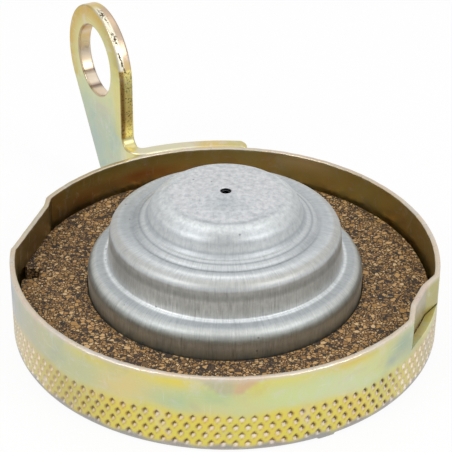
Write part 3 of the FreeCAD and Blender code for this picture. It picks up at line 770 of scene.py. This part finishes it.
# Painted highlights, shade and reflections on the cup, in patches: azimuth, distance along the line,
# half width in degrees, half height, colour, strength
CUP_PAINTED_PATCHES = (
    (-90, 32.8, 21, 1.4, "9c9c9d", 0.5),
    (-90, 36.9, 45, 0.5, "a9adb0", 0.6),
    (-122, 33.0, 16, 1.8, "c6c9cc", 0.5),
    (-62, 33.0, 16, 1.8, "cbced0", 0.5),
    (-90, 45.0, 40, 4.5, "c0c4c7", 0.9),
    (-122, 9.3, 16, 1.2, "b2b6b6", 0.7),
    (-90, 12.5, 55, 0.35, "ffffff", 0.8),
    (-58, 9.3, 16, 1.2, "b8bcbc", 0.5),
    (-122, 13.7, 12, 1.2, "ffffff", 0.6),
    (-120, 21.2, 16, 1.2, "c3c6c7", 0.5),
    (-90, 20.6, 12, 1.0, "a4a7a8", 0.3),
    (-90, 23.3, 50, 0.7, "fafafa", 0.8),
    (180, 24.0, 24, 1.6, "a9adb0", 0.6),
    (180, 26.6, 30, 1.2, "8f9396", 0.6),
    (-150, 16, 10, 3, "c4c7c8", 0.5),
    (-30, 16, 12, 3, "cccecf", 0.5),
    (-30, 26.4, 22, 0.9, "9ea2a5", 0.5),
    (-100, 4, 25, 2, "a9aca8", 0.4),
)


def vent_cup(material):
    """Stepped cup: a closed (r, z) line carried round the axis. Its outside comes from the steps, with
    the groove and fine rings that the draw tool left round the dome's foot, and its inside is the
    same line moved in by the sheet. The streak attribute is a circle of one radius for the azimuth,
    and a tenth of the distance along the line."""
    corners = [(CUP_R, float(cup_low[2]))]
    for inwards, up in CUP_STEPS:
        corners.append((corners[-1][0] - inwards, corners[-1][1] + up))
    corners.append((CROWN_HOLE_R, float(cup_high[2])))
    corners.append((CROWN_HOLE_R, float(cup_high[2]) - 0.7))
    outside, along = resampled(rounded(corners, CUP_ROUNDS, CUP_STEP), CUP_STEP)
    r = outside[:, 0].copy()
    upper = outside[:, 1] > 20
    for middle, deep, wide in CUP_RINGS:
        outside[:, 1] -= upper * deep * hump((r - middle) / wide)
    inner_rounds = [max(0, q - CUP_T) for q in CUP_ROUNDS[:-1]]
    inside = rounded(moved_sideways(corners[:-1], CUP_T), inner_rounds, 4 * CUP_STEP)
    line = np.vstack([outside, inside[::-1]])
    tone_and_painted_light = plain("cfd1d2", len(outside) * CUP_COLUMNS)
    place = np.repeat(along, CUP_COLUMNS)
    turn = np.tile(np.arange(CUP_COLUMNS) * 360 / CUP_COLUMNS, len(outside))
    # Painted light: bands of highlight and shade along the line, then patches of it
    for low, high, soft, colour, strength in CUP_PAINTED_BANDS:
        band = held((place - low) / soft + 0.5) * held((high - place) / soft + 0.5)
        stain(tone_and_painted_light, strength * band, colour)
    cloud_over(tone_and_painted_light, turn, place, CUP_PAINTED_PATCHES)
    # Painted shade: the crown hole's wall is stained near black
    stain(tone_and_painted_light, 0.97 * np.repeat((r < CROWN_HOLE_R + 0.15) * upper, CUP_COLUMNS), "141414")
    tone_and_painted_light = np.vstack([tone_and_painted_light, plain("8f9193", len(inside) * CUP_COLUMNS)])
    along = np.concatenate([along, np.linspace(along[-1], 0, len(inside))])
    azimuth = angles(CUP_COLUMNS)
    streak = round_the_axis(STREAK_R + 0 * line[:, :1], 0.1 * along[:, None], azimuth)
    piece = mesh_piece("vent_cup_finished", round_the_axis(line[:, :1], line[:, 1:], azimuth),
                       cells(len(line), CUP_COLUMNS).reshape(-1, 4), material,
                       "insert", colours=tone_and_painted_light, streak=streak, crease=50)
    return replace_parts(piece, "vent_cup")


def gasket(material):
    """Flat ring with a notch: the outer radius steps in by NOTCH_D across NOTCH_W, the edges are
    rounded, and the cut edge wanders a little."""
    azimuth = angles(GASKET_COLUMNS)
    low, high = float(gasket_low[2]), float(gasket_high[2])
    away = np.abs(apart(azimuth, radians(NOTCH_AZIMUTH), 2 * pi)) * GASKET_R
    wander = (0.05 * np.sin(23 * azimuth) + 0.04 * np.sin(57 * azimuth + 1.3)
              + 0.03 * np.sin(131 * azimuth))
    outer = GASKET_R - GASKET_SLACK + wander - NOTCH_D * held((NOTCH_W / 2 - away) / 0.4 + 0.5)
    bore = GASKET_HOLE_R + 0 * azimuth
    swing = np.linspace(0, pi / 2, 4)
    drop = GASKET_ROUND * (1 - np.sin(swing))
    inset_by = GASKET_ROUND * (1 - np.cos(swing))
    rows = [(bore, low)] + [(bore + q, high - d) for q, d in zip(inset_by, drop)]
    for share in np.linspace(0, 1, 16)[1:-1]:
        rows.append((bore + GASKET_ROUND + share * (outer - bore - 2 * GASKET_ROUND), high))
    rows += [(outer - q, high - d) for q, d in zip(inset_by[::-1], drop[::-1])] + [(outer, low)]
    radius = np.array([row[0] for row in rows])
    height = np.array([row[1] for row in rows])[:, None]
    quads = cells(len(rows), GASKET_COLUMNS).reshape(-1, 4)[:, ::-1]
    piece = mesh_piece("gasket_finished", round_the_axis(radius, height, azimuth), quads, material,
                       "insert")
    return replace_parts(piece, "gasket")


def wave_spring(material):
    """Flat strip carried round the axis, rising and falling as 1 + cos(SPRING_WAVES * azimuth)."""
    low, high = size_of("wave_spring")
    r_out = float(high[0])
    azimuth = angles(SPRING_COLUMNS)
    swing = (high[2] - low[2] - SPRING_T) / 2
    strip = np.array([(r_out, 0.0), (r_out, SPRING_T), (r_out - SPRING_WIDTH / 2, SPRING_T),
                      (r_out - SPRING_WIDTH, SPRING_T), (r_out - SPRING_WIDTH, 0.0),
                      (r_out - SPRING_WIDTH / 2, 0.0)])
    radius, rise = strip[:, :1], strip[:, 1:]
    height = low[2] + rise + swing * (1 + np.cos(SPRING_WAVES * azimuth))
    quads = cells(len(strip), SPRING_COLUMNS).reshape(-1, 4)
    piece = mesh_piece("wave_spring_finished", round_the_axis(radius, height, azimuth), quads,
                       material, "shell")
    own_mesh(piece)
    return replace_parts(piece, "wave_spring")


def inset(loop, distance):
    """Closed (s, z) loop moved inwards by a distance, each point along its own inward normal."""
    ahead = np.roll(loop, -1, axis=0) - loop
    ahead /= np.linalg.norm(ahead, axis=1)[:, None]
    behind = np.roll(ahead, 1, axis=0)
    way = ahead + behind
    normal = np.stack([-way[:, 1], way[:, 0]], axis=1)
    side = np.stack([-ahead[:, 1], ahead[:, 0]], axis=1)
    return loop + distance * (normal / np.maximum((normal * side).sum(axis=1), 0.3)[:, None])


def filled(outer, hole, spots):
    """Triangles between an outer and a hole loop, through the extra spots inside it."""
    points = np.vstack([outer, hole, spots])
    n, m = len(outer), len(hole)
    edges = [(i, (i + 1) % n) for i in range(n)] + [(n + i, n + (i + 1) % m) for i in range(m)]
    found = delaunay_2d_cdt(points.tolist(), edges, [list(range(n))], 1, 1e-5)
    flat = np.array([tuple(p) for p in found[0]])
    faces = np.array(found[2])
    middle = flat[faces].mean(axis=1)
    centre = hole.mean(axis=0)
    reach = np.linalg.norm(hole - centre, axis=1).min()
    return flat, faces[np.linalg.norm(middle - centre, axis=1) > reach]


# Stains in the eye, and painted reflections in its two narrow dark brown bands, with a painted highlight
# of pale bore between them: angle from outwards, half width in degrees, colour
EYE_STAINS_AND_REFLECTIONS = ((82, 24, "a8822e"), (45, 11, "c29a50"), (20, 8, "d9bf86"), (318, 4.5, "4a2e24"),
              (288, 5.5, "4e3228"))


# Bracket unrolled: s runs along the sheet from the foot's free end, over the bend to the plate
FOOT_R = SKIRT_R + BRACKET_T / 2
BEND_R = BRACKET_BEND + BRACKET_T / 2
BEND_SIDE = EYE_FACE - BRACKET_T / 2 - BEND_R
BEND_ALONG = ((FOOT_R + BEND_R) ** 2 - BEND_SIDE ** 2) ** 0.5
BEND_SWING = atan2(-BEND_SIDE, BEND_ALONG)
FOOT_S = FOOT_R * (radians(EYE_AZIMUTH - FOOT_END_AZIMUTH) - BEND_SWING)
BEND_TURN = pi / 2 - BEND_SWING
PLATE_S = FOOT_S + BEND_R * BEND_TURN
HEAD_OUT = SKIRT_R + HEAD_REACH
HEAD_Z = RIM_Z + HEAD_RISE
HEAD_R = EYE_R + EYE_WALL


def bracket_outline():
    """Outline of the unrolled bracket as an (s, z) loop, anticlockwise from the foot's lower end."""
    lean = radians(TAPER)
    at_s = PLATE_S - BEND_ALONG
    touch = (HEAD_OUT + HEAD_R * cos(lean), HEAD_Z - HEAD_R * sin(lean))
    foot_out = touch[0] - (touch[1] - FOOT_Z) * tan(lean)
    inner = HEAD_OUT - HEAD_R
    swing = np.linspace(-lean, pi, 72)[1:-1]
    head = np.stack([HEAD_OUT + HEAD_R * np.cos(swing), HEAD_Z + HEAD_R * np.sin(swing)], axis=1)
    low = rounded([(-at_s, 12), (-at_s, FOOT_Z), (foot_out, FOOT_Z), touch],
                  [0, FOOT_CORNER, PLATE_CORNER, 0], OUTLINE_ARC_STEP)
    back = rounded([(inner, HEAD_Z), (inner, RIM_Z), (-at_s, RIM_Z), (-at_s, 12)],
                   [0, PLATE_FILLET, FOOT_CORNER, 0], OUTLINE_ARC_STEP)[:-1]
    loop = np.vstack([low, head, back])
    return resampled(np.vstack([loop, loop[:1]]), OUTLINE_STEP)[0][:-1] + [at_s, 0]


def weld_reach(s, z, azimuth):
    """Distance from a spot weld's middle, 1 at its edge."""
    middle = FOOT_R * radians(azimuth - FOOT_END_AZIMUTH)
    return np.hypot(s - middle, z - (FOOT_Z + RIM_Z) / 2) / WELD_R


def bent(s, z, n):
    """Point of the bracket n in front of the sheet's middle: along the skirt's circle up to FOOT_S,
    round the bend's circle up to PLATE_S, then straight out. Spot welds are dents of the back."""
    for azimuth in WELD_AZIMUTHS:
        near = weld_reach(s, z, azimuth)
        n = np.where(n < -1.7, n + WELD_DEPTH * held(1 - near ** 2), n)
    n = np.where(s < FOOT_CHAMFER, np.maximum(n, FOOT_CHAMFER - BRACKET_T / 2 - s), n)
    turn = radians(FOOT_END_AZIMUTH) + np.minimum(s, FOOT_S) / FOOT_R
    foot = (FOOT_R - n) * np.stack([np.cos(turn), np.sin(turn)])
    swing = np.clip(s - FOOT_S, 0, PLATE_S - FOOT_S) / BEND_R
    way = radians(EYE_AZIMUTH) - BEND_SWING + pi - swing
    hub = radians(EYE_AZIMUTH) - BEND_SWING
    bend = (FOOT_R + BEND_R) * np.array([[cos(hub)], [sin(hub)]]) + (BEND_R + n) * np.stack(
        [np.cos(way), np.sin(way)])
    out = np.array([[cos(radians(EYE_AZIMUTH))], [sin(radians(EYE_AZIMUTH))]])
    plan = np.where(s < FOOT_S, foot, bend) + out * np.maximum(s - PLATE_S, 0)
    return np.stack([plan[0], plan[1], z], axis=1)


def bracket_colours(s, z, n, edge):
    """Film colour and wear of the bracket, and painted light: straw, greener and bluer low on the plate,
    golden by its edges, a painted highlight on the bend, brown rings of heat round the welds, stained in
    the eye with two painted reflection bands and a pale painted highlight, burnished to bare metal on
    the front of the head's edge and torn in two places there, rough on the cut inner edge and brown
    along its front third, dark on the arrises."""
    colours = plain("d6d6aa", len(s))
    plate = s > PLATE_S - 2
    across = s - PLATE_S + BEND_ALONG - HEAD_OUT
    rise = z - HEAD_Z
    stain(colours, 0.9 * held((30 - z) / 8) * plate, "b6c3b6")
    stain(colours, 0.6 * hump((across - 1) / 5, (z - 13) / 5) * plate, "a9bbc4")
    stain(colours, 0.4 * hump((across + 1.5) / 1.2, (z - 19) / 5) * plate, "c4beb2")
    # Painted highlight along the bend
    stain(colours, 0.6 * hump((s - FOOT_S - 3) / 4), "f4e69e")
    reach = np.hypot(across, rise)
    outer_rim = held((reach - HEAD_R + 4.5) / 3.0) * (rise > -8) * plate
    stain(colours, 0.55 * held((rise + 6) / 8) * plate, "d3c57c")
    stain(colours, 0.85 * outer_rim * (across > -6), "cba746")
    stain(colours, 0.7 * outer_rim * (across <= -6) * (rise > 2), "b9a458")
    stain(colours, 0.6 * hump((across + 13.2) / 1.9) * (z > 21) * (z < 40), "d8cf74")
    stain(colours, 0.5 * hump((across - 13) / 3) * (rise < 0) * (rise > -14), "cfc57a")
    stain(colours, 0.7 * edge, "d6c384")
    foot = s < PLATE_S - 2
    stain(colours, 0.9 * edge * foot, "cbbd88")
    stain(colours, 0.7 * edge * foot * held((s - 11) / 3), "dcd9cf")
    stain(colours, 0.5 * edge * foot * hump((s - 9) / 3), "e3c58c")
    for azimuth in WELD_AZIMUTHS:
        near = weld_reach(s, z, azimuth)
        stain(colours, 0.35 * held((1.2 - near) / 0.4) * (n < -1.2), "aaa394")
        stain(colours, 0.6 * hump((near - 1) / 0.25) * (n < -1.2), "7d6b4e")
    around = np.hypot(across, rise - EYE_RISE)
    swing = np.degrees(np.arctan2(rise - EYE_RISE, across)) % 360
    # Pale bore, partly bare cut metal and partly a painted highlight, with stains and two dark painted
    # reflection bands
    eye_edge = edge * (around < EYE_R + 1.0)
    stain(colours, 0.9 * eye_edge, "e6d2c4")
    for middle, wide, colour in EYE_STAINS_AND_REFLECTIONS:
        stain(colours, 0.85 * eye_edge * hump((swing - middle) / wide), colour)
    swing = np.degrees(np.arctan2(rise, -across))
    front = held((n - 0.1) / 0.3 + 0.5)
    top = edge * (around > EYE_R + 2) * held((rise - 3.0) / 1) * plate
    burnished = top * held((95 - swing) / 12)
    stain(colours, 0.9 * burnished * front, "f4efea")
    stain(colours, 0.85 * burnished * (1 - front), "c2aaa2")
    stain(colours, 0.8 * burnished * (1 - front) * held((26 - swing) / 8), "e2cc92")
    cut = edge * (z > RIM_Z + 2.0) * (rise < 3.6) * (across < -HEAD_R + 1.6) * plate
    stain(colours, 0.95 * cut, "fff0a4")
    stain(colours, 0.9 * cut * held((n - 0.5) / 0.3), "a07a40")
    arris = edge * plate * held((np.abs(n) - 1.3) / 0.25)
    stain(colours, 0.5 * arris, "86714c")
    torn = hump((swing - 75) / 11) + 0.9 * hump((swing - 46) / 8)
    line = (swing > 11) * (swing < 34) * hump((n - 1.15 + (34 - swing) / 24) / 0.2)
    wear = 0.2 * cut + burnished * (0.8 * torn * hump((n - 0.75) / 0.6) + line)
    return colours, wear


def padlock_bracket(material):
    """Bracket from its unrolled outline: both faces are filled, an edge band of quarter rounds and a
    straight side joins them at the outline and in the eye, and the whole is bent to shape."""
    outline = bracket_outline()
    swing = np.linspace(0, 2 * pi, EYE_POINTS + 1)[:-1]
    eye = np.stack([HEAD_OUT + EYE_R * np.cos(swing), HEAD_Z + EYE_RISE + EYE_R * np.sin(swing)], axis=1)
    eye += [PLATE_S - BEND_ALONG, 0]
    half = BRACKET_T / 2
    arc = np.linspace(0, pi / 2, 5)
    ins = np.concatenate([[BRACKET_ROUND + 0.3], BRACKET_ROUND * (1 - np.sin(arc))])
    front = half - BRACKET_ROUND * (1 - np.cos(arc))
    side = np.linspace(front[-1], -front[-1], 9)[1:-1]
    levels = np.concatenate([[half], front, side, -front[::-1], [-half]])
    insets = np.concatenate([ins, 0 * side, ins[::-1]])
    spots_s = np.concatenate([np.arange(1.0, FOOT_S, 0.6), np.linspace(FOOT_S, PLATE_S, 17),
                              np.arange(PLATE_S + 1.2, PLATE_S + 40, 1.6)])
    spots_s = np.append(spots_s, FOOT_CHAMFER)
    grid_s, grid_z = np.meshgrid(spots_s, np.arange(FOOT_Z + 1, HEAD_Z + HEAD_R, 0.8))
    spots = np.stack([grid_s.ravel(), grid_z.ravel()], axis=1)
    spots = spots[inside_loop(inset(outline, FACE_MARGIN), spots)]
    spots = spots[np.linalg.norm(spots - eye.mean(axis=0), axis=1) > EYE_R + FACE_MARGIN]
    flat, triangles = filled(inset(outline, insets[0]), inset(eye[::-1], insets[0]), spots)
    s, z, n, edge, faces = [], [], [], [], []

    def put(points, level, on_edge):
        """Adds points at a level of the sheet and returns the first one's number."""
        start = sum(len(part) for part in s)
        s.append(points[:, 0])
        z.append(points[:, 1])
        n.append(np.full(len(points), level))
        edge.append(np.full(len(points), on_edge))
        return start

    for level, turned_over in ((half, True), (-half, False)):
        start = put(flat, level, 0.0)
        faces += ((triangles[:, ::-1] if turned_over else triangles) + start).tolist()
    for loop in (outline, eye[::-1]):
        starts = [put(inset(loop, i), level, float(i < BRACKET_ROUND * 0.7))
                  for i, level in zip(insets, levels)]
        count = len(loop)
        j = np.arange(count)
        k = (j + 1) % count
        for a, b in zip(starts[:-1], starts[1:]):
            faces += np.stack([a + j, b + j, b + k, a + k], axis=1).tolist()
    s, z, n, edge = (np.concatenate(part) for part in (s, z, n, edge))
    colours, wear = bracket_colours(s, z, n, edge)
    piece = mesh_piece("padlock_bracket_finished", bent(s, z, n), faces, material, "shell",
                       colours=colours, wear=wear, crease=CREASE)
    shape = bmesh.new()
    shape.from_mesh(piece.data)
    bmesh.ops.remove_doubles(shape, verts=shape.verts, dist=0.00001)
    bmesh.ops.recalc_face_normals(shape, faces=shape.faces)
    shape.to_mesh(piece.data)
    shape.free()
    piece.data.set_sharp_from_angle(angle=radians(CREASE))
    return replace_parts(piece, "padlock_bracket")


def inside_loop(loop, spots):
    """Which spots lie in a closed loop: those with an odd number of sides to their right."""
    a, b = loop, np.roll(loop, -1, axis=0)
    x, y = spots[:, :1], spots[:, 1:]
    spans = (a[:, 1] > y) != (b[:, 1] > y)
    rise = np.where(b[:, 1] == a[:, 1], 1, b[:, 1] - a[:, 1])
    cross = a[:, 0] + (y - a[:, 1]) * (b[:, 0] - a[:, 0]) / rise
    return (spans & (x < cross)).sum(axis=1) % 2 == 1


def flat_light(name, place, aim, size, power):
    """Softbox: a square area lamp at a place, turned to its aim; lengths in metres."""
    data = bpy.data.lights.new(name, "AREA")
    data.shape = "RECTANGLE"
    data.size, data.size_y = size
    data.energy = power
    lamp = placed(name, data)
    way = np.array(place) - np.array(aim)
    back = way / np.linalg.norm(way)
    right = np.cross((0, 0, 1), back)
    right /= np.linalg.norm(right)
    lamp.matrix_world = Matrix(np.vstack([np.column_stack([right, np.cross(back, right), back, place]),
                                          [0, 0, 0, 1]]).tolist())


# Softboxes: name, place and size in metres, watts
SOFTBOXES = (("left_softbox", (-0.44, -0.3, 0.5), (0.24, 0.24), 1.3),
             ("right_softbox", (0.44, -0.3, 0.5), (0.24, 0.24), 1.2),
             ("top_softbox", (0.0, 0.3, 0.8), (0.6, 0.4), 0.6))
SOFTBOX_AIM = (0, 0, 0.02)
FLOOR_REACH = 3.0          # half the floor's side, in metres
WORLD_LEVEL = 0.7          # surround as diffuse light; the camera and reflections see 1, white
FLOOR_WHITE = 0.92         # how far the floor goes to pure white for the camera and reflections


def seen_rays(tree):
    """1 for camera, glossy and transmission rays, and otherwise 0."""
    path = add(tree, "LightPath")
    seen = path.outputs["Is Camera Ray"]
    for kind in ("Is Glossy Ray", "Is Transmission Ray"):
        seen = maths(tree, "MAXIMUM", seen, path.outputs[kind])
    return seen


def studio():
    """White surround, pale floor and three softboxes. The camera and reflections see the surround
    at 1, and the floor nearly so, with a faint shadow under the object."""
    world = bpy.data.worlds.new("studio")
    bpy.context.scene.world = world
    world.use_nodes = True
    tree = world.node_tree
    background = tree.nodes["Background"]
    background.inputs["Color"].default_value = linear("ffffff")
    level = spread(tree, seen_rays(tree), 0.0, 1.0, WORLD_LEVEL, 1.0)
    tree.links.new(level, background.inputs["Strength"])
    for name, place, size, power in SOFTBOXES:
        flat_light(name, place, SOFTBOX_AIM, size, power)
    mesh = bpy.data.meshes.new("floor")
    corners = [(x * FLOOR_REACH, y * FLOOR_REACH, 0) for x, y in ((-1, -1), (1, -1), (1, 1), (-1, 1))]
    mesh.from_pydata(corners, [], [(0, 1, 2, 3)])
    material, tree, shader = new_material("floor_paper", 0.0, 0.9)
    shader.inputs["Base Color"].default_value = linear("f2f2f2")
    share = spread(tree, seen_rays(tree), 0.0, 1.0, 0.0, FLOOR_WHITE)
    glow = add(tree, "Emission", {0: linear("ffffff"), 1: 1.0})
    paper = add(tree, "MixShader", {0: share, 1: shader.outputs[0], 2: glow.outputs[0]})
    tree.links.new(paper.outputs[0], tree.nodes["Material Output"].inputs["Surface"])
    mesh.materials.append(material)
    floor = placed("floor", mesh)


VIEW_TILT = 31.64          # camera's angle above the level, in degrees
VIEW_ROLL = 0.54
VIEW_PLACE = (0.12, -313.53, 218.60)
VIEW_LENS = 129.53
SENSOR_WIDTH = 36.0


def camera():
    """Camera at the photograph's viewing angle."""
    data = bpy.data.cameras.new("camera")
    data.lens = VIEW_LENS
    data.sensor_width = SENSOR_WIDTH
    data.clip_start, data.clip_end = 0.02, 20.0
    eye = placed("camera", data)
    turn = Matrix.Rotation(radians(90 - VIEW_TILT), 4, "X") @ Matrix.Rotation(radians(VIEW_ROLL), 4, "Z")
    eye.matrix_world = Matrix.Translation([v * MM for v in VIEW_PLACE]) @ turn
    bpy.context.scene.camera = eye


yellow = yellow_chromate()
cap_shell(yellow)
padlock_bracket(yellow)
vent_cup(drawn_aluminium())
gasket(cork_rubber())

plate_finish = plain_metal("dull_chromated_steel", "b9ab7c", "8f8259", 0.45, 300.0)
rivet_finish = plain_metal("zinc_plated_steel", "c9ccd0", "a9adb2", 0.34, 500.0)
spring_finish = plain_metal("blued_spring_steel", "3c4250", "262a33", 0.38, 400.0)
wave_spring(spring_finish)
hat_finish = plain_metal("pressed_aluminium", "c9ccd0", "b2b6ba", 0.42, 350.0)
seal_finish = soft_stuff("black_rubber", "1c1c1d", "121213", 0.7, 1500.0, 0.00005)
foam_finish = soft_stuff("open_cell_foam", "4a4a46", "1d1d1b", 0.95, 1300.0, 0.0006)
gauze_finish = woven_brass()
for node, finish in (("pressure_plate", plate_finish), ("slip_ring", plate_finish),
                     ("centre_rivet", rivet_finish), ("rivet_washer", rivet_finish),
                     ("rivet_retainer", rivet_finish), ("wave_spring", spring_finish),
                     ("baffle_hat", hat_finish), ("cup_seal", seal_finish),
                     ("filter_pad", foam_finish), ("gauze_disc", gauze_finish),
                     ("cap_shell", yellow), ("padlock_bracket", yellow),
                     ("vent_cup", bpy.data.materials["drawn_aluminium"]),
                     ("gasket", bpy.data.materials["cork_rubber"])):
    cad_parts[node].data.materials[0] = finish

studio()
camera()
bpy.context.scene.view_settings.view_transform = "Standard"
